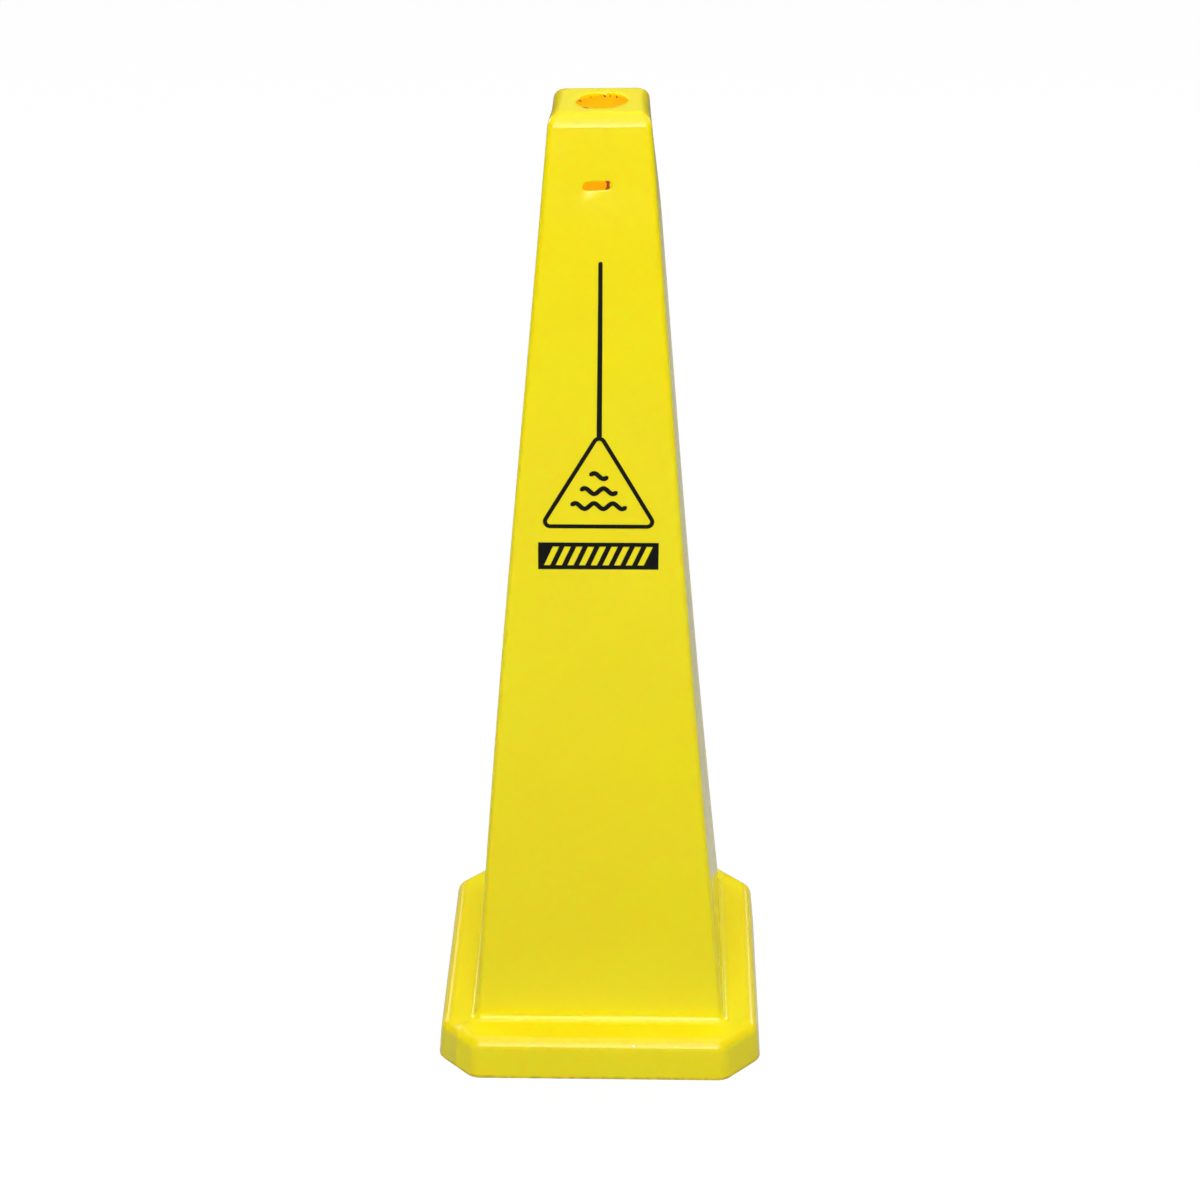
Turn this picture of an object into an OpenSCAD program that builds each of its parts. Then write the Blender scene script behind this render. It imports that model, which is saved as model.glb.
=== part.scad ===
// Square floor safety cone: one hollow moulding, open underneath, that narrows from a chamfered
// base to a flat top, with black decals on its front face.
// Millimetres, +Z up, front face towards -Y, origin on the floor under the middle of the base.

/* [Overall] */
// Height from the floor to the flat top
cone_height = 914; // [700:1:1200]
// Thickness of the moulded wall
wall = 2.5; // [1.5:0.1:3.5]
// Thickness of the flat top, where the moulding is pinched off and stays thicker
top_wall = 3.8; // [1.5:0.1:6]

/* [Base] */
// Width of the base across its flats, at the floor
base_width = 311; // [306:1:400]
// Leg of the chamfer across each corner of the base, at the floor
base_chamfer = 34.5; // [24:0.5:38]
// Radius of each chamfer's two upright edges, at the ledge
chamfer_edge_radius = 3; // [1:0.5:12]
// Height of the ledge above the floor
ledge_height = 42; // [32:0.5:70]
// Lean of the base's outer wall, in degrees from upright
skirt_draft = 5.5; // [1:0.5:8]
// Radius along the base's upper edge
rim_radius = 12.5; // [5:0.5:16]

/* [Body] */
// Width of the body where its faces would meet the ledge
foot_width = 238.5; // [180:0.5:243]
// Width of the body where its faces would meet the flat top
top_width = 85.5; // [78:0.5:120]
// Radius of the body's four tapering corners
corner_radius = 4.5; // [4:0.5:14]
// Width of the flat along each corner, where the mould parts
parting_land = 0.6; // [0.3:0.1:1.5]
// Radius of the fillet where the body rises from the ledge
foot_fillet = 9; // [1.5:0.5:11]
// Radius of the shoulder round the flat top
shoulder_radius = 11.5; // [6:0.5:15]

/* [Openings] */
// Diameter of the hole trimmed in the flat top
hole_diameter = 45; // [30:0.5:52]
// Length of the slot in each face, end to end
slot_length = 25; // [16:0.5:40]
// Height of the slot in each face
slot_height = 9; // [6:0.5:14]
// Distance down the face from the top to the middle of the slot
slot_drop = 60; // [45:1:100]

/* [Decals] */
// Thickness of the decal film
film = 0.2; // [0.1:0.05:0.5]
// Distance down the face from the top to the upper end of the line
line_drop = 125; // [110:1:160]
// Width of the line at its upper end
line_top_width = 3.6; // [2:0.1:6]
// Width of the line at its lower end
line_foot_width = 4.6; // [2:0.1:8]
// Distance down the face from the top to the apex of the triangle
triangle_drop = 282; // [240:1:320]
// Width of the triangle over its rounded corners
triangle_width = 98.5; // [70:0.5:125]
// Height of the triangle over its rounded corners
triangle_height = 85.5; // [60:0.5:110]
// Width of the triangle's band
triangle_band = 3.7; // [2:0.1:6]
// Outer radius of the triangle's corners
triangle_radius = 6.5; // [4.5:0.5:14]
// Gap between the triangle and the bar
bar_gap = 13.5; // [8:0.5:30]
// Length of the bar
bar_length = 107; // [60:1:125]
// Height of the bar
bar_height = 25.5; // [12:0.5:40]

/* [Hidden] */

moulding_yellow = "#f2df1c";
print_black = "#16140f";

// Steps in each rounded edge of the shell
arc_steps = 4;
// Steps in each round end or corner of a decal
decal_steps = 12;
// Smallest radius that an inner corner keeps
least_radius = 0.8;
// How far a cutting tool runs past the wall
cut_margin = 1;
// Sides of the round openings
$fn = 64;

// Share of a radius that lies between a rounded corner and its sharp one, along a side
corner_share = 2 - sqrt(2);
// Lean of the body's faces from upright
face_lean = atan((foot_width - top_width) / 2 / (cone_height - ledge_height));
// Room that a fillet takes on the level side of a leaning face
lean_share = (1 - sin(face_lean)) / cos(face_lean);

// Centres of the three rounded edges, as half width and height
rim_z = ledge_height - rim_radius;
rim_centre = [base_width / 2 - (rim_radius + rim_z * sin(skirt_draft)) / cos(skirt_draft), rim_z];
foot_centre = [foot_width / 2 + foot_fillet * lean_share, ledge_height + foot_fillet];
shoulder_centre = [top_width / 2 - shoulder_radius * lean_share, cone_height - shoulder_radius];

// Half width of the body's faces at a height
function face_half(z) = top_width / 2 + (cone_height - z) * tan(face_lean);

// Evenly spaced values from a first to a last
function sweep(first, last, steps = arc_steps) =
    [for (i = [0:steps]) first + (last - first) * i / steps];

// A station on a rounded edge: half width, height, outward direction and wall thickness.
// A hollow edge has a negative radius.
function station(centre, radius, angle, thickness = wall) =
    [centre.x + radius * cos(angle), centre.y + radius * sin(angle), cos(angle), sin(angle), thickness];

// Wall at the shoulder, which grows to the top's thickness
function shoulder_wall(angle) =
    wall + (top_wall - wall) * (angle - face_lean) / (90 - face_lean);

base_stations = concat(
    [[base_width / 2, 0, 1 / cos(skirt_draft), 0, wall]],
    [for (angle = sweep(skirt_draft, 90)) station(rim_centre, rim_radius, angle)]
);
body_stations = concat(
    [for (angle = sweep(90, face_lean)) station(foot_centre, -foot_fillet, angle)],
    [for (angle = sweep(face_lean, 90))
        station(shoulder_centre, shoulder_radius, angle, shoulder_wall(angle))]
);

// The same station on the inside of the wall
function inner(s) = [s[0] - s[4] * s[2], s[1] - s[4] * s[3]];

// Level rings of the shell: half width, height, chamfer leg and edge radius.
// A body corner opens out over the foot fillet and keeps its least radius round the shoulder.
function base_ring(s) = [
    s[0], s[1],
    base_chamfer - (base_width / 2 - s[0]) * corner_share,
    max(chamfer_edge_radius + s[0] - rim_centre.x, least_radius)
];
function body_ring(s, least) =
    let (radius = max(corner_radius + s[0] - face_half(s[1]), least))
    [s[0], s[1], radius * corner_share + parting_land / sqrt(2), radius];

// Small ring inside the hole, where the outer and inner surfaces close
hub = hole_diameter / 4;
function hub_ring(z) = [hub, z, hub / 2, hub / 2];

inner_corner = max(corner_radius - wall, least_radius);
outer_rings = concat(
    [for (s = base_stations) base_ring(s)],
    [for (s = body_stations) body_ring(s, corner_radius)]
);
inner_rings = concat(
    [for (s = base_stations) base_ring(inner(s))],
    [for (s = body_stations) body_ring(inner(s), inner_corner)]
);
inner_count = len(inner_rings);
shell_rings = concat(
    outer_rings,
    [hub_ring(cone_height), hub_ring(cone_height - top_wall)],
    [for (i = [1:inner_count]) inner_rings[inner_count - i]]
);

// Points of one ring, anticlockwise from above: two eighth-turn arcs at each corner
function ring_points(ring) =
    let (near = ring[0] - ring[3])
    let (far = ring[0] - ring[2] - ring[3] * (sqrt(2) - 1))
    [
        for (quarter = [0:3]) for (second = [0, 1]) for (angle = sweep(45 * second, 45 * second + 45))
            let (x = (second == 0 ? near : far) + ring[3] * cos(angle))
            let (y = (second == 0 ? far : near) + ring[3] * sin(angle))
            let (turn = 90 * quarter)
            [x * cos(turn) - y * sin(turn), x * sin(turn) + y * cos(turn), ring[1]]
    ];

// Skin through a closed loop of rings
module ring_loft(rings) {
    around = 8 * (arc_steps + 1);
    points = [for (ring = rings) each ring_points(ring)];
    faces = [
        for (i = [0:len(rings) - 1]) for (k = [0:around - 1])
            let (low = i * around)
            let (high = ((i + 1) % len(rings)) * around)
            let (next = (k + 1) % around)
            each [[low + k, high + k, high + next], [low + k, high + next, low + next]]
    ];
    polyhedron(points, faces, convexity = 8);
}

// Places children on the front face: X across, Y up the face, Z out of it
module on_face(drop) {
    translate([0, -top_width / 2, cone_height])
        rotate([90 - face_lean, 0, 0])
            translate([0, -drop, 0])
                children();
}

module slot_outline() {
    straight = slot_length - slot_height;
    square([straight, slot_height], center = true);
    for (side = [-1, 1])
        translate([side * straight / 2, 0])
            circle(d = slot_height);
}

module slot_cuts() {
    for (turn = [0:90:270])
        rotate([0, 0, turn])
            on_face(slot_drop)
                translate([0, 0, -wall - cut_margin])
                    linear_extrude(wall + 2 * cut_margin)
                        slot_outline();
}

// Yellow moulding: body, ledge and base in one even wall, with the trimmed openings
module cone_shell() {
    color(moulding_yellow)
        difference() {
            ring_loft(shell_rings);
            translate([0, 0, cone_height - top_wall - cut_margin])
                cylinder(h = top_wall + 2 * cut_margin, d = hole_diameter);
            slot_cuts();
        }
}

// Points of an arc on the face, from a first angle to a last
function arc(centre, radius, first, last) =
    [for (angle = sweep(first, last, decal_steps)) centre + radius * [cos(angle), sin(angle)]];

// Direction out of the triangle's right side, in degrees above level
side_angle = atan((triangle_width / 2 - triangle_radius) / (triangle_height - 2 * triangle_radius));

// Outline of the triangle with round corners about fixed centres, with the apex's tip at the origin
function round_triangle(radius) =
    let (across = triangle_width / 2 - triangle_radius)
    let (foot = triangle_radius - triangle_height)
    concat(
        arc([0, -triangle_radius], radius, side_angle, 180 - side_angle),
        arc([-across, foot], radius, 180 - side_angle, 270),
        arc([across, foot], radius, 270, 360 + side_angle)
    );

// Black line that runs down to the triangle's apex, with a round upper end
module line_decal() {
    top_radius = line_top_width / 2;
    top_centre = [0, triangle_drop - line_drop - top_radius];
    foot = [line_foot_width / 2, -triangle_radius];
    color(print_black)
        on_face(triangle_drop)
            linear_extrude(film)
                difference() {
                    polygon(concat(arc(top_centre, top_radius, 0, 180), [[-foot.x, foot.y], foot]));
                    polygon(round_triangle(triangle_radius));
                }
}

// Black band in the form of an upright triangle
module triangle_decal() {
    color(print_black)
        on_face(triangle_drop)
            linear_extrude(film)
                difference() {
                    polygon(round_triangle(triangle_radius));
                    polygon(round_triangle(triangle_radius - triangle_band));
                }
}

// Plain black bar under the triangle
module bar_decal() {
    color(print_black)
        on_face(triangle_drop + triangle_height + bar_gap)
            translate([-bar_length / 2, -bar_height, 0])
                cube([bar_length, bar_height, film]);
}

cone_shell();
line_decal();
triangle_decal();
bar_decal();
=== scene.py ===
import math

import bpy
from mathutils import Matrix, Vector, noise


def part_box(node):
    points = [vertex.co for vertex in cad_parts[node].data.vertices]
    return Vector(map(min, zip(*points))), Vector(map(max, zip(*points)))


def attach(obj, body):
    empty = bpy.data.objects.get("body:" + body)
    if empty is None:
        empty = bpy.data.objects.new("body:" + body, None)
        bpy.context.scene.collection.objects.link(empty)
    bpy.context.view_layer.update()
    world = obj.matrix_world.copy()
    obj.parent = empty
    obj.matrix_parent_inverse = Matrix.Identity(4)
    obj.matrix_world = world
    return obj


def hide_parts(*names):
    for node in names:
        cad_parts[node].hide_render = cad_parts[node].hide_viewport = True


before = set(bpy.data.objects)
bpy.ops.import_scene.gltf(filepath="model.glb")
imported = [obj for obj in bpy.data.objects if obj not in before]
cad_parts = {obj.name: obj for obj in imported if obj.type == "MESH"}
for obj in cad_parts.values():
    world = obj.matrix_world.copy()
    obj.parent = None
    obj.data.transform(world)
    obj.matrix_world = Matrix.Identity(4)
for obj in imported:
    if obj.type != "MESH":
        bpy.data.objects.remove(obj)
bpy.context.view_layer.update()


# Cone moulding
# The whole yellow cone is one hollow blow moulding in polyethylene, open underneath. Its faces keep
# the slight waves of a thin wall that cooled in the mould, and a knife trimmed its top hole and slots.

shell_low, shell_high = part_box("cone_shell")
cone_height = shell_high.z
base_width = shell_high.x - shell_low.x
wall = 0.0025
top_wall = 0.0038
base_chamfer = 0.0345
chamfer_edge_radius = 0.003
ledge_height = 0.042
skirt_draft = math.radians(5.5)
rim_radius = 0.0125
foot_width = 0.2385
top_width = 0.0855
corner_radius = 0.0045
least_inner_radius = 0.0008
parting_land = 0.0006
parting_height = 0.00025
foot_fillet = 0.0075
shoulder_radius = 0.0115
hole_radius = 0.0225
slot_length = 0.0248
slot_height = 0.0078
slot_drop = 0.060

corner_share = 2 - math.sqrt(2)
face_lean = math.atan((foot_width - top_width) / 2 / (cone_height - ledge_height))
lean_share = (1 - math.sin(face_lean)) / math.cos(face_lean)
rim_z = ledge_height - rim_radius
rim_x = base_width / 2 - (rim_radius + rim_z * math.sin(skirt_draft)) / math.cos(skirt_draft)
foot_x = foot_width / 2 + foot_fillet * lean_share
foot_z = ledge_height + foot_fillet
shoulder_x = top_width / 2 - shoulder_radius * lean_share
shoulder_z = cone_height - shoulder_radius


def face_half(z):
    """Half width of the body's faces at a height."""
    return top_width / 2 + (cone_height - z) * math.tan(face_lean)


def mix(a, b, share):
    return a + (b - a) * share


def smooth(value, start, end):
    """0 before start, 1 after end, and an even curve between."""
    share = min(max((value - start) / (end - start), 0), 1)
    return share * share * (3 - 2 * share)


def skirt_station(z, proud=0.0):
    """A station on the base's leaning outer wall, at a height and proud of the wall's true face."""
    half = base_width / 2 - z * math.tan(skirt_draft) + proud
    return half, z, math.cos(skirt_draft), math.sin(skirt_draft), wall


def arc_station(x, z, radius, angle, thickness=wall):
    """A station on a rounded edge: half width, height, outward direction, wall. Hollow if radius < 0."""
    out, up = math.cos(angle), math.sin(angle)
    return x + radius * out, z + radius * up, out, up, thickness


def face_station(drop):
    """A station on the body's leaning faces, at a distance down the face from the top."""
    z = cone_height - drop * math.cos(face_lean)
    return face_half(z), z, math.cos(face_lean), math.sin(face_lean), wall


def base_ring(half, z):
    """Level ring of the base: half width, height, chamfer leg and edge radius."""
    leg = base_chamfer - (base_width / 2 - half) * corner_share
    return half, z, leg, max(chamfer_edge_radius + half - rim_x, least_inner_radius)


def body_ring(half, z, least):
    """Level ring of the body, whose corners open out over the foot fillet and keep a least radius."""
    radius = max(corner_radius + half - face_half(z), least)
    return half, z, radius * corner_share + parting_land / math.sqrt(2), radius


# Each quarter of a ring has two eighth-turn arcs with a land between them, and then one flat side. The
# parting seam runs along the middle of the land and takes at most a share of it on either hand.
arc_columns = 6
land_columns = 3
flat_columns = 39
quarter_columns = 2 * arc_columns + land_columns + flat_columns
ring_columns = 4 * quarter_columns
land_middle = arc_columns + land_columns // 2
flat_middle = 2 * arc_columns + land_columns + flat_columns // 2
edge_support = 0.0006
seam_half_width = 0.0005
seam_share = 0.3


def ring_outline(half, leg, radius):
    """The (x, y) points of one ring, anticlockwise from the +X side's end at the first corner."""
    near = half - radius
    far = half - leg - radius * (math.sqrt(2) - 1)
    arcs = []
    for x, y, first in ((near, far, 0), (far, near, 45)):
        for i in range(arc_columns):
            angle = math.radians(first + 45 * i / (arc_columns - 1))
            arcs.append(Vector((x + radius * math.cos(angle), y + radius * math.sin(angle))))
    land_start, land_end = arcs[arc_columns - 1], arcs[arc_columns]
    land = (land_end - land_start).length
    seam = min(seam_half_width / land, seam_share)
    lands = [land_start.lerp(land_end, 0.5 + side * seam) for side in (-1, 0, 1)]
    support = min(edge_support, far / flat_columns)
    flat_steps = flat_columns - 1
    flats = [Vector((far - support - 2 * (far - support) * i / flat_steps, half))
             for i in range(flat_columns)]
    quarter = arcs[:arc_columns] + lands + arcs[arc_columns:] + flats
    turns = [Matrix.Rotation(math.radians(90 * turn), 2) for turn in range(4)]
    return [turn @ point for turn in turns for point in quarter]


def sweep(first, last, steps):
    """Evenly spaced values from a first to a last."""
    return [first + (last - first) * i / steps for i in range(steps + 1)]


# Stations from the floor up to the flat top. The trimmed lower edge keeps a small bead with a neck over it.
bead_rows = (0.0007, 0.0014)
bead_height = 0.0022
bead_neck = -0.0003
neck_rise = 0.001
neck_fade = (0.004, 0.012)
skirt_start = 0.006
skirt_top = rim_z + rim_radius * math.sin(skirt_draft)
skirt_steps = 6
rim_steps = 16
ledge_steps = 5
fillet_steps = 14
shoulder_steps = 14
base_stations = [skirt_station(z) for z in bead_rows]
base_stations += [skirt_station(bead_height, bead_neck / 2)]
base_stations += [skirt_station(bead_height + neck_rise, bead_neck)]
base_stations += [skirt_station(z, bead_neck * (1 - smooth(z, *neck_fade)))
                  for z in sweep(skirt_start, skirt_top - edge_support, skirt_steps)]
base_stations += [arc_station(rim_x, rim_z, rim_radius, angle)
                  for angle in sweep(skirt_draft, math.pi / 2, rim_steps)]
foot_stations = [arc_station(foot_x, foot_z, -foot_fillet, angle)
                 for angle in sweep(math.pi / 2, face_lean, fillet_steps)]

slot_rows = 6
slot_row_step = 0.0022
body_row_step = 0.008
foot_drop = (cone_height - foot_stations[-1][1]) / math.cos(face_lean)
shoulder_drop = (cone_height - shoulder_z - shoulder_radius * math.sin(face_lean)) / math.cos(face_lean)
window_low = slot_drop + slot_rows * slot_row_step
window_high = slot_drop - slot_rows * slot_row_step
low_rows = round((foot_drop - window_low) / body_row_step)
high_rows = round((window_high - shoulder_drop) / body_row_step)
body_drops = [foot_drop - edge_support]
body_drops += sweep(foot_drop - body_row_step, window_low, low_rows - 1)
body_drops += sweep(window_low, window_high, 2 * slot_rows)[1:]
body_drops += sweep(window_high, shoulder_drop + body_row_step / 2, high_rows)[1:]
body_drops += [shoulder_drop + edge_support]


def shoulder_wall(angle):
    """Wall round the shoulder, which grows to the top's thickness."""
    return mix(wall, top_wall, (angle - face_lean) / (math.pi / 2 - face_lean))


body_stations = foot_stations + [face_station(drop) for drop in body_drops]
body_stations += [arc_station(shoulder_x, shoulder_z, shoulder_radius, angle, shoulder_wall(angle))
                  for angle in sweep(face_lean, math.pi / 2, shoulder_steps)]


def inner_side(station):
    """Half width and height of a station on the inside of the wall."""
    half, z, out, up, thickness = station
    return half - thickness * out, z - thickness * up


def ledge_rings(outer, inner):
    """Rings across the level ledge, with one close to each of its two rounded edges."""
    width = outer[0] - inner[0]
    shares = [edge_support / width] + sweep(0, 1, ledge_steps)[1:-1] + [1 - edge_support / width]
    return [tuple(mix(a, b, share) for a, b in zip(outer, inner)) for share in shares]


outer_base = [base_ring(station[0], station[1]) for station in base_stations]
outer_body = [body_ring(station[0], station[1], corner_radius) for station in body_stations]
outer_rings = outer_base + ledge_rings(outer_base[-1], outer_body[0]) + outer_body
inner_corner = max(corner_radius - wall, least_inner_radius)
inner_base = [base_ring(*inner_side(station)) for station in base_stations]
inner_body = [body_ring(*inner_side(station), inner_corner) for station in body_stations]
inner_rings = inner_base + ledge_rings(inner_base[-1], inner_body[0]) + inner_body


def ring_points(ring):
    """The points of a level ring, anticlockwise from above."""
    half, z, leg, radius = ring
    return [Vector((point.x, point.y, z)) for point in ring_outline(half, leg, radius)]


# Corners are counted anticlockwise from the rear right one
parting_corners = (0, 2)
parting_end = (shoulder_z - 0.004, shoulder_z + 0.006)


def parting_line(rings, directions):
    """Raises the mould's parting line on the rear right and front left corners, up to the shoulder."""
    for points, (out, up) in zip(rings, directions):
        ridge = parting_height * (1 - smooth(points[0].z, *parting_end))
        for corner in parting_corners:
            turn = math.radians(45 + 90 * corner)
            column = corner * quarter_columns + land_middle
            points[column] += ridge * Vector((out * math.cos(turn), out * math.sin(turn), up))


ledge_count = len(outer_rings) - len(outer_base) - len(outer_body)
outer_directions = [station[2:4] for station in base_stations]
outer_directions += [(0, 1)] * ledge_count
outer_directions += [station[2:4] for station in body_stations]
outer_points = [ring_points(ring) for ring in outer_rings]
parting_line(outer_points, outer_directions)
inner_points = [ring_points(ring) for ring in inner_rings]

# The trimmed hole: a shallow dish, a rounded upper edge, a knife-cut wall and a lower edge with burrs
hole_turns = [math.radians(45) + 2 * math.pi * (i - land_middle) / ring_columns
              for i in range(ring_columns)]
dish_width = 0.0045
dish_depth = 0.0004
dish_shares = (0.12, 0.4, 0.7, 1.0)
dish_middle = 0.0022
hole_edge = 0.0008
hole_edge_start = math.radians(20)
hole_edge_steps = 4
hole_shift = 0.0014
under_edge = 0.0016

# How the knife strayed: reach, count and phase of its slow swings, and the reach and grain of its chatter
knife_swings = ((0.0009, 2, 0.5), (0.0002, 5, 2.1))
knife_chatter = 0.00025
chatter_round = 6
chatter_down = 400

# Burrs round the lower edge: place in degrees, length and half width in degrees
burrs = ((155, 0.0022, 3.0), (84, 0.0024, 3.5), (71, 0.0012, 2.0), (55, 0.0020, 3.0),
         (352, 0.0018, 4.0), (118, 0.0009, 2.5), (238, -0.0026, 2.8))
burr_sag = 0.35

# Rows down the cut: depth, and the share of each burr's length that shows there
cut_rows = ((0.0019, 0.1), (0.0026, 0.3), (0.0032, 0.6), (top_wall - 0.0003, 1.0), (top_wall, 0.85))


def knife_wander(turn, depth):
    """How far the knife strayed from the true circle, at a turn round the hole and a depth in the wall."""
    swing = sum(reach * math.sin(count * turn + phase) for reach, count, phase in knife_swings)
    place = (chatter_round * math.cos(turn), chatter_round * math.sin(turn), chatter_down * depth)
    return swing + knife_chatter * noise.noise(Vector(place))


def burr_reach(turn):
    """How far burrs reach into the hole at its lower edge. A negative one is a nick with a torn tag."""
    reach = 0
    for middle, length, spread in burrs:
        apart = (turn - math.radians(middle) + math.pi) % (2 * math.pi) - math.pi
        reach += length * max(0, 1 - abs(apart) / math.radians(spread))
    return reach


def hole_ring(outward, depth, burr_share=0.0):
    """A ring round the hole, at a distance out from the cut and a depth below the flat top."""
    points = []
    for turn in hole_turns:
        reach = burr_reach(turn) * burr_share
        radius = hole_radius + outward + knife_wander(turn, depth) - reach
        sag = depth + burr_sag * max(reach, 0)
        across = radius * math.cos(turn) + hole_shift
        points.append(Vector((across, radius * math.sin(turn), cone_height - sag)))
    return points


top_edge = outer_points[-1]
dish_rim = hole_ring(dish_width, 0)
dish_points = [[a.lerp(b, share) for a, b in zip(top_edge, dish_rim)] for share in dish_shares]
hole_points = [hole_ring(dish_middle, dish_depth * 0.5), hole_ring(hole_edge, dish_depth)]
hole_points += [hole_ring(hole_edge * (1 - math.sin(angle)), dish_depth + hole_edge * (1 - math.cos(angle)))
                for angle in sweep(hole_edge_start, math.pi / 2, hole_edge_steps)]
hole_points += [hole_ring(0, depth, burr_share) for depth, burr_share in cut_rows]
hole_points += [hole_ring(under_edge, top_wall)]
under_rim = inner_points[-1]
hole_points += [[a.lerp(b, 0.5) for a, b in zip(hole_points[-1], under_rim)]]

# The trimmed lower edge, slightly rounded: inset from the wall's outer or inner side, and height
outer_trim = ((0.0003, 0.0002), (0.0009, 0.0))
inner_trim = ((0.0007, 0.0), (0.0002, 0.0002))
outer_foot = [ring_points(base_ring(base_width / 2 - inset, z)) for inset, z in outer_trim]
inner_foot = [ring_points(base_ring(base_width / 2 - wall + inset, z)) for inset, z in inner_trim]

# All rings in order: up the outside, over the top, down through the hole and back down the inside
rings = outer_foot[::-1] + outer_points + dish_points + hole_points
rings += inner_points[::-1] + inner_foot[::-1]
outer_start = len(outer_foot)
inner_end = len(rings) - len(inner_foot)
inner_start = inner_end - len(inner_points)
underside_start = inner_start - 2
vertices = [point for ring in rings for point in ring]

# The slots: a window is left open in the outer and the inner skin of each face and joined by loops.
# Sides are counted anticlockwise from the rear one.
front_side = 2
slot_half_columns = 10
body_first_row = len(outer_base) + ledge_count + len(foot_stations)
slot_row = body_first_row + min(range(len(body_drops)), key=lambda i: abs(body_drops[i] - slot_drop))
outer_slot_row = outer_start + slot_row
inner_slot_row = inner_start + len(inner_points) - 1 - slot_row


def column_of(turn, offset):
    """Column at an offset from the middle of a side."""
    return (turn * quarter_columns + flat_middle + offset) % ring_columns


def in_window(row, column):
    """Whether the quad that follows this row and this column lies in a slot's window."""
    turn = (column - flat_middle + slot_half_columns) // quarter_columns % 4
    offset = (column - flat_middle - turn * quarter_columns) % ring_columns
    offset = offset - ring_columns if offset > ring_columns // 2 else offset
    if not -slot_half_columns <= offset < slot_half_columns:
        return False
    return any(-slot_rows <= row - middle < slot_rows for middle in (outer_slot_row, inner_slot_row))


# The knife's marks, in rows from the top of the hole: torn burrs of a least length low down, and
# scorches higher up, each between two angles and from a first row
hole_start = inner_start - len(hole_points)
torn_rows = range(8, 12)
least_burr = 0.0005
scorch_marks = ((232, 244, -1), (310, 353, 3))
scorch_end = 7


def is_torn(row, turn):
    """Whether the knife tore the hole's lower edge here, or scorched its upper one."""
    step = row - hole_start
    if step in torn_rows:
        return abs(burr_reach(turn)) > least_burr
    angle = math.degrees(turn) % 360
    return any(low < angle < high and first <= step < scorch_end for low, high, first in scorch_marks)


outer_faces, inner_faces, slot_faces, cut_faces, burr_faces = [], [], [], [], []
for row in range(len(rings)):
    next_row = (row + 1) % len(rings)
    side = inner_faces if underside_start <= row < inner_end else outer_faces
    for column in range(ring_columns):
        if in_window(row, column):
            continue
        after = (column + 1) % ring_columns
        low, high = row * ring_columns, next_row * ring_columns
        group = burr_faces if is_torn(row, hole_turns[column]) else side
        group.append((low + column, low + after, high + after, high + column))


def window_loop(middle, turn):
    """Vertices round a window, from its lower left corner anticlockwise as seen from outside."""
    across = range(-slot_half_columns, slot_half_columns)
    upward = range(-slot_rows, slot_rows)
    way = 1 if middle == outer_slot_row else -1
    path = [(-slot_rows, i) for i in across] + [(i, slot_half_columns) for i in upward]
    path += [(slot_rows, -i) for i in across] + [(-i, -slot_half_columns) for i in upward]
    return [(middle + way * row) * ring_columns + column_of(turn, column) for row, column in path]


slot_shift = -0.0015


def face_frame(turn):
    """Point and directions of a side at the slot's middle: origin, across, up the face and out of it."""
    spin = Matrix.Rotation(math.radians(90 * (turn - front_side)), 3, "Z")
    drop = Vector((0, -math.sin(face_lean), -math.cos(face_lean)))
    origin = Vector((slot_shift, -top_width / 2, cone_height)) + slot_drop * drop
    out = Vector((0, -math.cos(face_lean), math.sin(face_lean)))
    return spin @ origin, spin @ Vector((1, 0, 0)), spin @ -drop, spin @ out


slot_radius = slot_height / 2
slot_straight = (slot_length - slot_height) / 2
slot_tilt = 0.045
slot_flare = 0.0012
cut_edge = 0.0003

# The slot's rounded lip, in rows of distance from the cut and share of the sink, and where it is melted
lip = 0.0004
lip_sink = 0.0001
lip_rows = ((0.0034, 0.0), (0.0022, 0.25), (lip + 0.0003, 0.8), (lip, 1.0))
lip_start = math.radians(22.5)
lip_steps = 3
lip_depth = 0.001
melt_swell = 1.6
melt_place = -0.0075
melt_width = 0.0028

# The web of uncut wall in the right end of the front slot
web_reach = 0.0063
web_hollow = 0.0015
web_depth = 0.0017
web_step = 0.0001
web_ramp = 0.0023
web_slope = 0.02


def slot_loop(turn, start, distance, depth, ramp=0.0, web=False):
    """A stadium loop at a distance from the slot's spine and a depth in the wall.

    A ramp draws in its right end, and a web of uncut wall fills that end. The front one's lower left lip
    is melted round."""
    origin, across, up, out = face_frame(turn)
    loop = []
    for index in start:
        offset = vertices[index] - origin
        u, v = offset.dot(across), offset.dot(up)
        spine = min(max(u, -slot_straight), slot_straight)
        away = Vector((u - spine, v)).normalized()
        melt = 0
        if turn == front_side:
            melt = melt_swell * math.exp(-((u - melt_place) / melt_width) ** 2) * max(-away.y, 0)
        reach = distance + melt * min(max(distance - slot_radius, 0), lip) - ramp * max(away.x, 0) ** 2
        u = spine + reach * away.x
        v = reach * away.y
        if web:
            edge = slot_straight + slot_radius - web_reach + web_hollow * (1 - (v / slot_radius) ** 2)
            u = min(u, mix(edge, u, web_slope))
        loop.append(len(vertices))
        sunk = depth * (1 + melt) if depth < lip_depth else depth
        vertices.append(origin + u * across + (v + slot_tilt * u) * up - sunk * out)
    return loop


def bridge(faces, first, second):
    """Quads between two loops of as many points."""
    count = len(first)
    for i in range(count):
        after = (i + 1) % count
        faces.append((first[i], first[after], second[after], second[i]))


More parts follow.
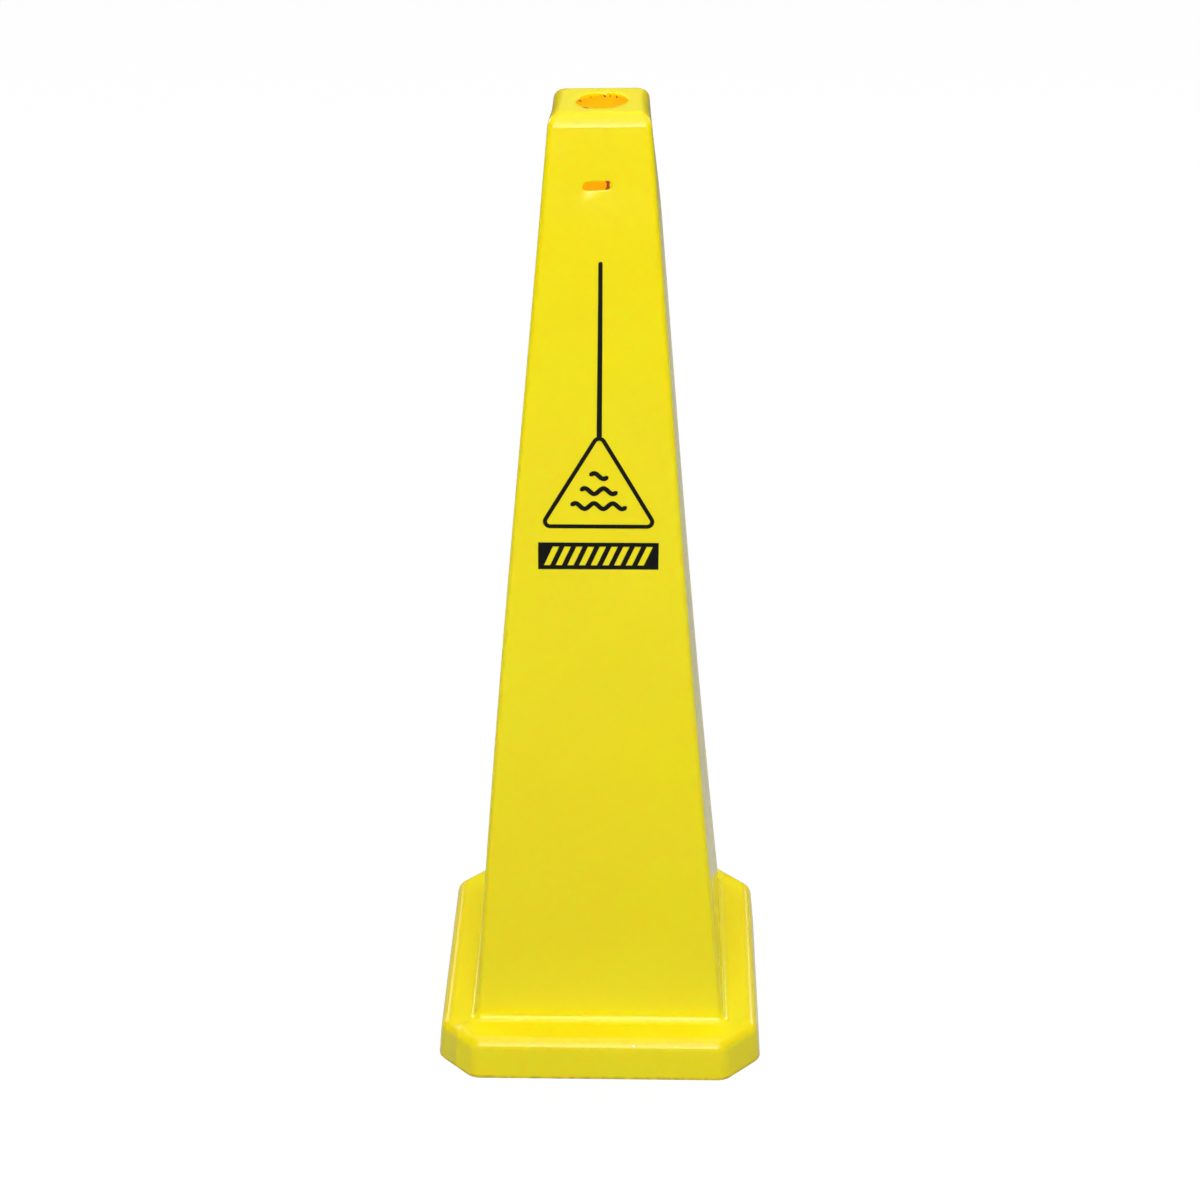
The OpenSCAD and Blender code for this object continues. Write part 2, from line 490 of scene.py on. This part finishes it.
for turn in range(4):
    outside = window_loop(outer_slot_row, turn)
    inside = window_loop(inner_slot_row, turn)
    profile = [(wide, lip_sink * share) for wide, share in lip_rows]
    profile += [(lip * (1 - math.sin(angle)), lip_sink + lip * (1 - math.cos(angle)))
                for angle in sweep(lip_start, math.pi / 2, lip_steps)]
    loops = [outside]
    loops += [slot_loop(turn, outside, slot_radius + wide, depth) for wide, depth in profile]
    for first, second in zip(loops, loops[1:]):
        bridge(slot_faces, first, second)
    has_web = turn == front_side
    ramp = web_ramp if has_web else 0
    steps = [(0, web_depth, False), (0, web_depth + web_step, has_web)]
    steps += [(0, wall - cut_edge, has_web), (cut_edge, wall, has_web)]
    walls = [slot_loop(turn, outside, slot_radius + wide, depth, ramp, web) for wide, depth, web in steps]
    bridge(slot_faces, loops[-1], walls[0])
    # The front slot's web walls take the painted dark red shade
    for first, second in zip(walls, walls[1:]):
        bridge(cut_faces if has_web else slot_faces, first, second)
    flare = slot_loop(turn, outside, slot_radius + slot_flare, wall)
    bridge(slot_faces, walls[-1], flare)
    bridge(slot_faces, flare, inside)

# Slight waves of the cooled faces, which the prints on the front follow too: two long ones and a fine
# grain of waves, with a shallow sink over each face and a dent beside the front slot
wave_heights = (0.00030, 0.00018, 0.00010)
wave_lengths = (0.27, 0.121)
wave_grain = 14
wave_start = (foot_z, foot_z + 0.09)
wave_end = (shoulder_z - 0.06, shoulder_z)
wave_sides = (0.45, 0.97)
face_share = 0.7
sink_depth = 0.0004
dent_depth = 0.0004
dent_place = (-0.0070, slot_drop + 0.0040)
dent_radius = 0.0070


def face_wave(point):
    """How a point of the moulding moves out of its true face. The waves fade towards each corner."""
    shift = Vector((0, 0, 0))
    if not ledge_height < point.z < cone_height:
        return shift
    fade = smooth(point.z, *wave_start) * (1 - smooth(point.z, *wave_end))
    half = face_half(point.z)
    for turn in range(4):
        angle = math.radians(90 * turn + 90)
        out = Vector((math.cos(angle), math.sin(angle), 0))
        across = Vector((-math.sin(angle), math.cos(angle), 0))
        if point.dot(out) < half * face_share:
            continue
        u = point.dot(across) / half
        spread = 1 - smooth(abs(u), *wave_sides)
        wave = wave_heights[0] * math.sin(2 * math.pi * point.z / wave_lengths[0] + 1.3 * turn + 0.9 * u)
        wave += wave_heights[1] * math.sin(2 * math.pi * point.z / wave_lengths[1] + 2.4 * turn - 1.6 * u)
        place = (wave_grain * u * half, wave_grain / 2 * turn, wave_grain * point.z)
        wave += wave_heights[2] * noise.noise(Vector(place))
        shift += (wave - sink_depth) * spread * fade * out
    if point.y < -half * face_share:
        drop = (cone_height - point.z) / math.cos(face_lean)
        apart = math.hypot(point.x - dent_place[0], drop - dent_place[1]) / dent_radius
        shift.y += dent_depth * math.exp(-apart ** 2)
    return shift


# The thin body cooled a little out of true, to one side low down and to the other at the top, which tilts
# and is drawn in towards its rear
draw_reach = 0.00195
draw_length = 1.236
draw_start = (ledge_height - 0.010, ledge_height + 0.060)
top_tilt = 0.010
tilt_heights = (0.75, 0.91)
rear_draw = 0.055
rear_draw_depths = (-0.046, 0.010)
rear_draw_heights = (0.80, 0.90)


def drawn_over(point):
    """How a point of the moulding moves with the body that cooled out of true."""
    share = smooth(point.z, *draw_start)
    swing = math.sin(2 * math.pi * (point.z - ledge_height) / draw_length)
    narrow = rear_draw * smooth(point.y, *rear_draw_depths) * smooth(point.z, *rear_draw_heights)
    lift = top_tilt * point.x * smooth(point.z, *tilt_heights)
    return Vector((-draw_reach * share * swing - narrow * point.x, 0, lift))


vertices = [point + face_wave(point) + drawn_over(point) for point in vertices]


def new_piece(name, points, face_groups, materials):
    """A smooth mesh piece, with one material for each group of faces."""
    mesh = bpy.data.meshes.new(name)
    faces = [face for group in face_groups for face in group]
    mesh.from_pydata([tuple(point) for point in points], [], faces)
    numbers = [i for i, group in enumerate(face_groups) for face in group]
    for material in materials:
        mesh.materials.append(material)
    mesh.polygons.foreach_set("material_index", numbers)
    mesh.polygons.foreach_set("use_smooth", [True] * len(numbers))
    mesh.update()
    piece = bpy.data.objects.new(name, mesh)
    bpy.context.scene.collection.objects.link(piece)
    return piece


class Finish:
    """A node material with one shader, and short ways to add and join nodes."""

    def __init__(self, name):
        self.material = bpy.data.materials.new(name)
        self.material.use_nodes = True
        self.tree = self.material.node_tree
        self.shader = self.tree.nodes["Principled BSDF"]
        self.place = self.add("ShaderNodeTexCoord").outputs["Object"]

    def fill(self, socket, value):
        """Links a socket to another one, or gives it a fixed value."""
        if isinstance(value, bpy.types.NodeSocket):
            self.tree.links.new(value, socket)
        else:
            socket.default_value = value

    def add(self, kind, inputs=(), **settings):
        node = self.tree.nodes.new(kind)
        for name, value in settings.items():
            setattr(node, name, value)
        for socket, value in dict(inputs).items():
            self.fill(node.inputs[socket], value)
        return node

    def noise(self, scale, detail=2.0, roughness=0.5, stretch=(1, 1, 1)):
        place = self.add("ShaderNodeVectorMath", {0: self.place, 1: stretch}, operation="MULTIPLY")
        inputs = {"Vector": place.outputs[0], "Scale": scale, "Detail": detail, "Roughness": roughness}
        return self.add("ShaderNodeTexNoise", inputs).outputs["Fac"]

    def spread(self, value, low, high, first=0.0, last=1.0):
        """The first value below low, the last one above high, and an even curve between."""
        inputs = {"Value": value, 1: low, 2: high, 3: first, 4: last}
        node = self.add("ShaderNodeMapRange", inputs, interpolation_type="SMOOTHSTEP")
        return node.outputs["Result"]

    def cloud(self, scale, detail=3, first=0.0, last=1.0):
        """A soft mottle over the piece, from a first value to a last."""
        return self.spread(self.noise(scale, detail), 0.3, 0.7, first, last)

    def band(self, value, start, full, fade, end):
        """1 from full to fade, and 0 before start and after end."""
        return self.times(self.spread(value, start, full), self.spread(value, fade, end, 1.0, 0.0))

    def near(self, centre, inner, outer):
        """1 within the inner distance of a point and 0 beyond the outer one."""
        apart = self.add("ShaderNodeVectorMath", {0: self.place, 1: centre}, operation="DISTANCE")
        return self.spread(apart.outputs["Value"], inner, outer, 1.0, 0.0)

    def times(self, a, b):
        return self.add("ShaderNodeMath", {0: a, 1: b}, operation="MULTIPLY").outputs[0]

    def plus(self, a, b):
        return self.add("ShaderNodeMath", {0: a, 1: b}, operation="ADD").outputs[0]

    def blend(self, share, a, b):
        """A colour between two others."""
        inputs = {"Factor": share, "A": a, "B": b}
        node = self.add("ShaderNodeMix", data_type="RGBA")
        for socket in node.inputs:
            if socket.enabled and socket.name in inputs:
                self.fill(socket, inputs[socket.name])
        return next(socket for socket in node.outputs if socket.enabled)

    def height(self):
        return self.add("ShaderNodeSeparateXYZ", {0: self.place}).outputs["Z"]

    def bump(self, height, strength, distance, normal=None):
        inputs = {"Height": height, "Strength": strength, "Distance": distance}
        if normal is not None:
            inputs["Normal"] = normal
        return self.add("ShaderNodeBump", inputs).outputs["Normal"]

    def set(self, **sockets):
        for name, value in sockets.items():
            self.fill(self.shader.inputs[name.replace("_", " ")], value)


def colour(red, green, blue):
    return red, green, blue, 1.0


# Places on the moulding where its finish changes: heights of the rim and shoulder bands, where shade is
# painted darker and the rim is made rougher, patches on the front face painted brighter as light coming
# through the wall, with their reach, a painted highlight on the front rim, painted shade along the lower
# edge at the floor, and the upper inside, painted glowing as light through the wall.
# The last value is how deep red, green and blue light goes into the plastic, compared with one another.
rim_shade_band = (0.031, 0.037, 0.0412, 0.0422)
shoulder_shade_band = (0.9025, 0.9065, 0.9128, 0.9138)
painted_light_patches = (((0.056, -0.096, 0.316), 0.085), ((0.060, -0.108, 0.168), 0.075))
painted_glint_place = (0.0335, -0.1506, 0.0363)
painted_glint_size = (0.0006, 0.0016)
floor_shade_height = 0.0045
lit_heights = (0.62, 0.86)
lit_strength = 0.35
light_depth = (1.0, 0.7, 0.1)


def yellow_polyethylene():
    """Glossy yellow plastic with a fine mould grain and faint scuffs, and painted shade, light and a
    highlight in places.
    """
    finish = Finish("yellow_polyethylene")
    base = finish.blend(finish.cloud(5), colour(0.930, 0.772, 0.0078), colour(0.952, 0.797, 0.0096))
    scuff_lines = finish.spread(finish.noise(60, 4, 0.7, (1, 1, 0.16)), 0.66, 0.74)
    scuff_places = finish.spread(finish.noise(7, 2), 0.55, 0.68)
    scuff = finish.times(scuff_lines, scuff_places)
    base = finish.blend(finish.times(scuff, 0.07), base, colour(0.95, 0.86, 0.12))
    height = finish.height()
    # Painted shade: the rim and shoulder bands are painted darker, and the rim is also rougher
    rim = finish.band(height, *rim_shade_band)
    shoulder = finish.band(height, *shoulder_shade_band)
    painted_edge_shade = finish.plus(finish.times(rim, 0.35), finish.times(shoulder, 0.5))
    base = finish.blend(painted_edge_shade, base, colour(0.800, 0.640, 0.0070))
    # Painted light: patches on the front face painted brighter, standing in for light coming through the
    # wall
    painted_light = finish.plus(*[finish.near(place, 0.0, reach) for place, reach in painted_light_patches])
    base = finish.blend(finish.times(painted_light, 0.9), base, colour(1.0, 0.790, 0.0035))
    # Painted highlight: a small pale glint on the front rim
    painted_glint = finish.near(painted_glint_place, *painted_glint_size)
    base = finish.blend(painted_glint, base, colour(1.0, 0.98, 0.90))
    # Painted shade: darker along the lower edge at the floor
    near_floor = finish.spread(height, 0.0, floor_shade_height, 1.0, 0.0)
    floor_shade = finish.times(near_floor, finish.cloud(90, 3, 0.25, 0.8))
    base = finish.blend(floor_shade, base, colour(0.30, 0.22, 0.02))
    rough = finish.plus(finish.cloud(26, 3, 0.14, 0.18), finish.times(rim, 0.09))
    grain = finish.bump(finish.noise(1300, 2), 0.03, 0.0003)
    orange_peel = finish.bump(finish.noise(170, 2), 0.02, 0.0015, grain)
    finish.set(Base_Color=base, Roughness=rough, Normal=orange_peel, IOR=1.5)
    finish.set(Subsurface_Weight=1.0, Subsurface_Radius=light_depth, Subsurface_Scale=0.0012)
    finish.set(Specular_IOR_Level=0.27)
    return finish.material


def orange_inside():
    """The inside of the wall, painted orange and glowing near the top as painted light that passed through
    it.
    """
    finish = Finish("lit_through_wall")
    base = finish.blend(finish.cloud(40), colour(0.90, 0.50, 0.006), colour(0.92, 0.55, 0.007))
    rough = finish.cloud(60, 3, 0.45, 0.6)
    finish.set(Base_Color=base, Roughness=rough, Normal=finish.bump(finish.noise(300, 2), 0.08, 0.0008))
    finish.set(Subsurface_Weight=1.0, Subsurface_Radius=light_depth, Subsurface_Scale=0.002)
    finish.set(Specular_IOR_Level=0.2)
    finish.set(Emission_Color=colour(0.86, 0.65, 0.010))
    finish.set(Emission_Strength=finish.spread(finish.height(), *lit_heights, 0.0, lit_strength))
    return finish.material


def browned_and_shaded_cut(name, grain, dark, pale):
    """Matt dark plastic, browned by a hot knife on the hole's burrs and painted as shade on the front
    slot's web.
    """
    finish = Finish(name)
    mottle = finish.spread(finish.noise(grain, 3), 0.35, 0.65)
    base = finish.blend(mottle, dark, pale)
    finish.set(Base_Color=base, Roughness=finish.cloud(900, 2, 0.5, 0.75))
    finish.set(Normal=finish.bump(finish.noise(1500, 2), 0.2, 0.0003), Specular_IOR_Level=0.2)
    return finish.material


yellow = yellow_polyethylene()
inside_orange = orange_inside()
# The front slot's web is painted dark red as shade; the hole's burrs and scorches are browned by the knife
slot_web_shade = browned_and_shaded_cut("slot_web_painted_shade", 700, colour(0.42, 0.045, 0.014), colour(0.56, 0.090, 0.024))
torn = browned_and_shaded_cut("torn_burr", 900, colour(0.17, 0.060, 0.008), colour(0.30, 0.130, 0.016))
cone_moulding = new_piece(
    "cone_moulding", vertices, [outer_faces, inner_faces, slot_faces, cut_faces, burr_faces],
    [yellow, inside_orange, yellow, slot_web_shade, torn])
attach(cone_moulding, "root")
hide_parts("cone_shell")


# Printed line
# A line of black ink, screened on to the front face below the slot. It swells a little towards its
# lower end, where it runs into the triangle.

ink_film = 0.00015
ink_bed = -0.00005
line_drop = 0.125
line_top_width = 0.0036
line_foot_width = 0.0046
line_overlap = 0.0002
triangle_drop = 0.282
print_shift = 0.0014
weld_scale = 1e7


def on_front(across, drop, out=0.0):
    """A point of the waved front face, at a distance across and down it, raised out of it."""
    z = cone_height - drop * math.cos(face_lean)
    point = Vector((across + print_shift, -face_half(z), z))
    raised = out * Vector((0, -math.cos(face_lean), math.sin(face_lean)))
    return point + face_wave(point) + drawn_over(point) + raised


class Print:
    """A thin film of ink on the front face, made of strips between two rows of points (across, drop)."""

    def __init__(self):
        self.points, self.faces, self.places = [], [], {}

    def corner(self, across, drop):
        """Number of the point at a place, which strips that meet there share."""
        key = (round(across * weld_scale), round(drop * weld_scale))
        if key not in self.places:
            self.places[key] = len(self.points)
            self.points.append((across, drop))
        return self.places[key]

    def strip(self, first, second, closed=False):
        """Adds quads between two rows of points, or triangles where two of their corners fall together."""
        count = len(first)
        for i in range(count if closed else count - 1):
            after = (i + 1) % count
            corners = [first[i], first[after], second[after], second[i]]
            face = [self.corner(*corner) for corner in corners]
            self.faces.append([index for i, index in enumerate(face) if index not in face[:i]])

    def piece(self, name, material):
        """The film with its upper side, its underside and the walls along its open edges."""
        count = len(self.points)
        points = [on_front(across, drop, ink_film) for across, drop in self.points]
        points += [on_front(across, drop, ink_bed) for across, drop in self.points]
        faces = []
        edges = set()
        for face in self.faces:
            (ax, ad), (bx, bd), (cx, cd) = [self.points[i] for i in face[:3]]
            turns_left = (bx - ax) * (ad - cd) - (ad - bd) * (cx - ax) > 0
            face = face if turns_left else face[::-1]
            faces.append(face)
            faces.append([index + count for index in reversed(face)])
            edges.update(zip(face, face[1:] + face[:1]))
        open_edges = [(a, b) for a, b in edges if (b, a) not in edges]
        walls = [(b, a, a + count, b + count) for a, b in sorted(open_edges)]
        piece = new_piece(name, points, [faces + walls], [material])
        piece.data.polygons.foreach_set("use_smooth", [False] * len(piece.data.polygons))
        return piece


def black_ink():
    """Satin black ink, slightly uneven."""
    finish = Finish("black_ink")
    mottle = finish.spread(finish.noise(320, 3), 0.35, 0.7)
    base = finish.blend(mottle, colour(0.0026, 0.0028, 0.0019), colour(0.0048, 0.0050, 0.0036))
    finish.set(Base_Color=base, Roughness=finish.cloud(140, 3, 0.45, 0.6))
    finish.set(Normal=finish.bump(finish.noise(1300, 2), 0.06, 0.0003), Specular_IOR_Level=0.08)
    return finish.material


ink = black_ink()
print_step = 0.005
line_end_steps = 10
line_radius = line_top_width / 2
line_print = Print()
cap = [(-line_radius * math.cos(angle), line_drop + line_radius - line_radius * math.sin(angle))
       for angle in sweep(math.pi / 2, 0, line_end_steps)]
line_foot = triangle_drop + line_overlap
line_length = line_foot - line_drop - line_radius
left_side = cap + [(-mix(line_top_width, line_foot_width, share) / 2,
                    line_drop + line_radius + share * line_length)
                   for share in sweep(0, 1, round(line_length / print_step))[1:]]
line_print.strip(left_side, [(-across, drop) for across, drop in left_side])
printed_line = line_print.piece("printed_line", ink)
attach(printed_line, "root")
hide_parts("line_decal")


# Printed triangle
# An upright triangle in the same black ink, drawn as a band with round corners. It frames a small
# plain pattern of three wavy strokes.

triangle_width = 0.0985
triangle_height = 0.0855
triangle_band = 0.0037
triangle_radius = 0.0065
triangle_across = triangle_width / 2 - triangle_radius
triangle_low = triangle_drop + triangle_height - triangle_radius
triangle_top = triangle_drop + triangle_radius
side_angle = math.atan(triangle_across / (triangle_height - 2 * triangle_radius))
corner_steps = 12
side_steps = 16


def triangle_loop(radius):
    """A loop round the triangle at one radius about its three corner centres."""
    corners = [(0, triangle_top, side_angle, math.pi - side_angle),
               (-triangle_across, triangle_low, math.pi - side_angle, 1.5 * math.pi),
               (triangle_across, triangle_low, 1.5 * math.pi, 2 * math.pi + side_angle)]
    arcs = [[(across + radius * math.cos(angle), drop - radius * math.sin(angle))
             for angle in sweep(first, last, corner_steps)] for across, drop, first, last in corners]
    loop = []
    for arc, following in zip(arcs, arcs[1:] + arcs[:1]):
        start, end = Vector(arc[-1]), Vector(following[0])
        loop += arc + [tuple(start.lerp(end, share)) for share in sweep(0, 1, side_steps)[1:-1]]
    return loop


triangle_print = Print()
band_outside = triangle_loop(triangle_radius)
band_inside = triangle_loop(triangle_radius - triangle_band)
triangle_print.strip(band_outside, band_inside, closed=True)

# The wavy strokes, each at a distance down the face and with a number of waves
strokes = ((0.3185, 1.0), (0.3325, 2.0), (0.3465, 3.0))
stroke_width = 0.0042
stroke_swing = 0.0026
stroke_length = 0.0165
stroke_steps = 18
stroke_tip = 1e-5


def wavy_stroke(drop, waves):
    """A wavy stroke of even width with round ends, of a number of whole waves."""
    length = stroke_length * waves
    upper, lower = [], []
    for share in sweep(0, 1, round(stroke_steps * waves)):
        phase = 2 * math.pi * waves * share
        slope = math.atan(stroke_swing * 2 * math.pi * waves / length * math.cos(phase))
        across = length * (share - 0.5)
        middle = drop - stroke_swing * math.sin(phase)
        end = min(share, 1 - share) * length
        half = stroke_width / 2
        half = max(math.sqrt(half ** 2 - max(half - end, 0) ** 2), stroke_tip)
        upper.append((across - half * math.sin(slope), middle - half * math.cos(slope)))
        lower.append((across + half * math.sin(slope), middle + half * math.cos(slope)))
    return upper, lower


for stroke_drop, stroke_waves in strokes:
    triangle_print.strip(*wavy_stroke(stroke_drop, stroke_waves))
printed_triangle = triangle_print.piece("printed_triangle", ink)
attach(printed_triangle, "root")
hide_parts("triangle_decal")


# Printed bar
# A black bar in the same ink under the triangle, broken by a row of slanting windows that leave the
# yellow face bare.

bar_gap = 0.0135
bar_drop = triangle_drop + triangle_height + bar_gap
bar_length = 0.107
bar_height = 0.0255
window_count = 9
window_margin = 0.0038
window_height = bar_height - 2 * window_margin
window_width = 0.0056
window_slant = 0.008
window_pitch = 0.0104
bar_print = Print()

# Rows from the bar's upper edge down, the share of the slant at each, and the rows that a window opens
bar_rows = [bar_drop, bar_drop + window_margin, bar_drop + window_margin + window_height / 2,
            bar_drop + window_margin + window_height, bar_drop + bar_height]
bar_slants = [0.5, 0.5, 0.0, -0.5, -0.5]
window_rows = (1, 2)
bar_edges = [[-bar_length / 2] * len(bar_rows)]
for i in range(window_count):
    window_left = (i - (window_count - 1) / 2) * window_pitch - window_width / 2
    bar_edges += [[window_left + share * window_slant for share in bar_slants],
                  [window_left + window_width + share * window_slant for share in bar_slants]]
bar_edges += [[bar_length / 2] * len(bar_rows)]
for i, (left, right) in enumerate(zip(bar_edges, bar_edges[1:])):
    is_window = i % 2 == 1
    for row in range(len(bar_rows) - 1):
        if not (is_window and row in window_rows):
            upper = [(left[row], bar_rows[row]), (right[row], bar_rows[row])]
            lower = [(left[row + 1], bar_rows[row + 1]), (right[row + 1], bar_rows[row + 1])]
            bar_print.strip(upper, lower)
printed_bar = bar_print.piece("printed_bar", ink)
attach(printed_bar, "root")
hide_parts("bar_decal")


# Floor and light
# A wide pale studio floor under soft lamps. A tall panel in front is brightest low down on its right, an
# arch of weaker panels stands over the cone, and ceilings at its sides and boxes behind it fill the shade.

floor_reach = 45.0
floor_grey = 0.14
floor_glow = 0.88
floor_mesh = bpy.data.meshes.new("floor")
floor_corners = [(-floor_reach, -floor_reach, 0), (floor_reach, -floor_reach, 0),
                 (floor_reach, floor_reach, 0), (-floor_reach, floor_reach, 0)]
floor_mesh.from_pydata(floor_corners, [], [(0, 1, 2, 3)])
floor = bpy.data.objects.new("floor", floor_mesh)
bpy.context.scene.collection.objects.link(floor)

# How bright the floor is where the cone mirrors it: where a fade starts and ends, and its two values, for
# the distance from the cone and for the way from its front to its rear
mirror_reach = (1.8, 3.4, 1.0, 0.1)
mirror_depth = (-0.4, 0.6, 0.60, 0.42)


def pale_floor():
    """A matt floor that keeps the shadow, lifted towards white where it is seen or mirrored near by."""
    finish = Finish("pale_floor")
    grey = colour(floor_grey, floor_grey, floor_grey)
    finish.set(Base_Color=grey, Roughness=0.9, Specular_IOR_Level=0.0)
    path = finish.add("ShaderNodeLightPath").outputs
    seen = finish.plus(path["Is Camera Ray"], path["Is Transmission Ray"])
    apart = finish.add("ShaderNodeVectorMath", {0: finish.place}, operation="LENGTH")
    near_by = finish.spread(apart.outputs["Value"], *mirror_reach)
    behind = finish.add("ShaderNodeSeparateXYZ", {0: finish.place})
    in_front = finish.spread(behind.outputs["Y"], *mirror_depth)
    mirrored = finish.times(path["Is Glossy Ray"], finish.times(near_by, in_front))
    strength = finish.times(finish.plus(seen, mirrored), floor_glow)
    glow = finish.add("ShaderNodeEmission", {"Strength": strength})
    both = finish.add("ShaderNodeAddShader", {0: finish.shader.outputs[0], 1: glow.outputs[0]})
    finish.tree.links.new(both.outputs[0], finish.tree.nodes["Material Output"].inputs["Surface"])
    return finish.material


floor_mesh.materials.append(pale_floor())


def soft_box(name, place, target, width, height, radiance):
    """A rectangular lamp that faces a target, with an even brightness over its area."""
    lamp = bpy.data.lights.new(name, "AREA")
    lamp.shape = "RECTANGLE"
    lamp.size = width
    lamp.size_y = height
    lamp.energy = radiance * math.pi * width * height
    box = bpy.data.objects.new(name, lamp)
    box.location = place
    box.rotation_euler = (Vector(target) - Vector(place)).to_track_quat("-Z", "Y").to_euler()
    box.visible_camera = False
    bpy.context.scene.collection.objects.link(box)


# The front panel: a row of columns, each with its left, right and brightness, and panels stacked over
# them, each with its low and high edge and brightness
key_place = -3.3
key_width = 1.4
key_low, key_high = 0.76, 1.15
key_columns = ((-0.95, -0.50, 8.5), (-0.50, -0.22, 6.5), (-0.22, -0.06, 11.0), (-0.06, 0.12, 15.0),
               (0.12, 0.30, 25.0), (0.30, 0.50, 7.0), (0.50, 0.95, 8.5))
key_panels = ((1.15, 1.60, 10.2), (1.60, 2.20, 8.2), (2.20, 3.00, 6.4))
for left, right, radiance in key_columns:
    across, middle = (left + right) / 2, (key_low + key_high) / 2
    place, target = (across, key_place, middle), (across, 0, middle)
    soft_box("key_column", place, target, right - left, key_high - key_low, radiance)
for low, high, radiance in key_panels:
    middle = (low + high) / 2
    soft_box("key_panel", (0, key_place, middle), (0, 0, middle), key_width, high - low, radiance)

# The arch over the cone: each panel's rise and span in degrees, its width and its brightness
arch_panels = ((42, 17, 1.6, 4.0), (62, 24, 2.0, 2.2), (90, 32, 2.4, 1.65), (118, 24, 2.4, 1.1))
arch_reach = 4.0
arch_middle = 0.9
for rise, span, width, radiance in arch_panels:
    out, lift = arch_reach * math.cos(math.radians(rise)), arch_reach * math.sin(math.radians(rise))
    place, target = (0, -out, arch_middle + lift), (0, 0, arch_middle)
    soft_box("arch_panel", place, target, width, arch_reach * math.radians(span), radiance)

body_middle = (0, 0, 0.6)
soft_box("rear_panel", place=(0, 9.0, 5.5), target=body_middle, width=8.0, height=6.0, radiance=0.25)
for side in (-1, 1):
    soft_box("side_ceiling", place=(2.8 * side, 0.0, 6.0), target=(2.0 * side, 0.0, 0),
             width=2.4, height=4.0, radiance=2.1)
    soft_box("rear_box", place=(8.5 * side, 7.5, 4.4), target=body_middle,
             width=6.0, height=4.2, radiance=6.5)

even_light = 0.06
world = bpy.data.worlds.new("studio")
bpy.context.scene.world = world
world.use_nodes = True
world.node_tree.nodes["Background"].inputs["Color"].default_value = colour(1, 1, 1)
world.node_tree.nodes["Background"].inputs["Strength"].default_value = even_light


# Camera
# It stands a little to the right of the cone and looks down on it, as the photograph does.

camera_place = Vector((0.050666, -2.101193, 1.552876))
camera_yaw = math.radians(-1.393)
camera_pitch = math.radians(27.972)
camera_roll = math.radians(-0.252)
forward = Vector((math.sin(camera_yaw) * math.cos(camera_pitch),
                  math.cos(camera_yaw) * math.cos(camera_pitch),
                  -math.sin(camera_pitch)))
level = Vector((math.cos(camera_yaw), -math.sin(camera_yaw), 0))
upright = level.cross(forward)
right = math.cos(camera_roll) * level + math.sin(camera_roll) * upright
up = -math.sin(camera_roll) * level + math.cos(camera_roll) * upright
camera_data = bpy.data.cameras.new("camera")
camera_data.sensor_width = 36
camera_data.lens = 76.749
camera_data.clip_end = 200
camera = bpy.data.objects.new("camera", camera_data)
turned = Matrix((right, up, -forward)).transposed().to_4x4()
camera.matrix_world = Matrix.Translation(camera_place) @ turned
bpy.context.scene.collection.objects.link(camera)
bpy.context.scene.camera = camera
bpy.context.scene.view_settings.view_transform = "Standard"
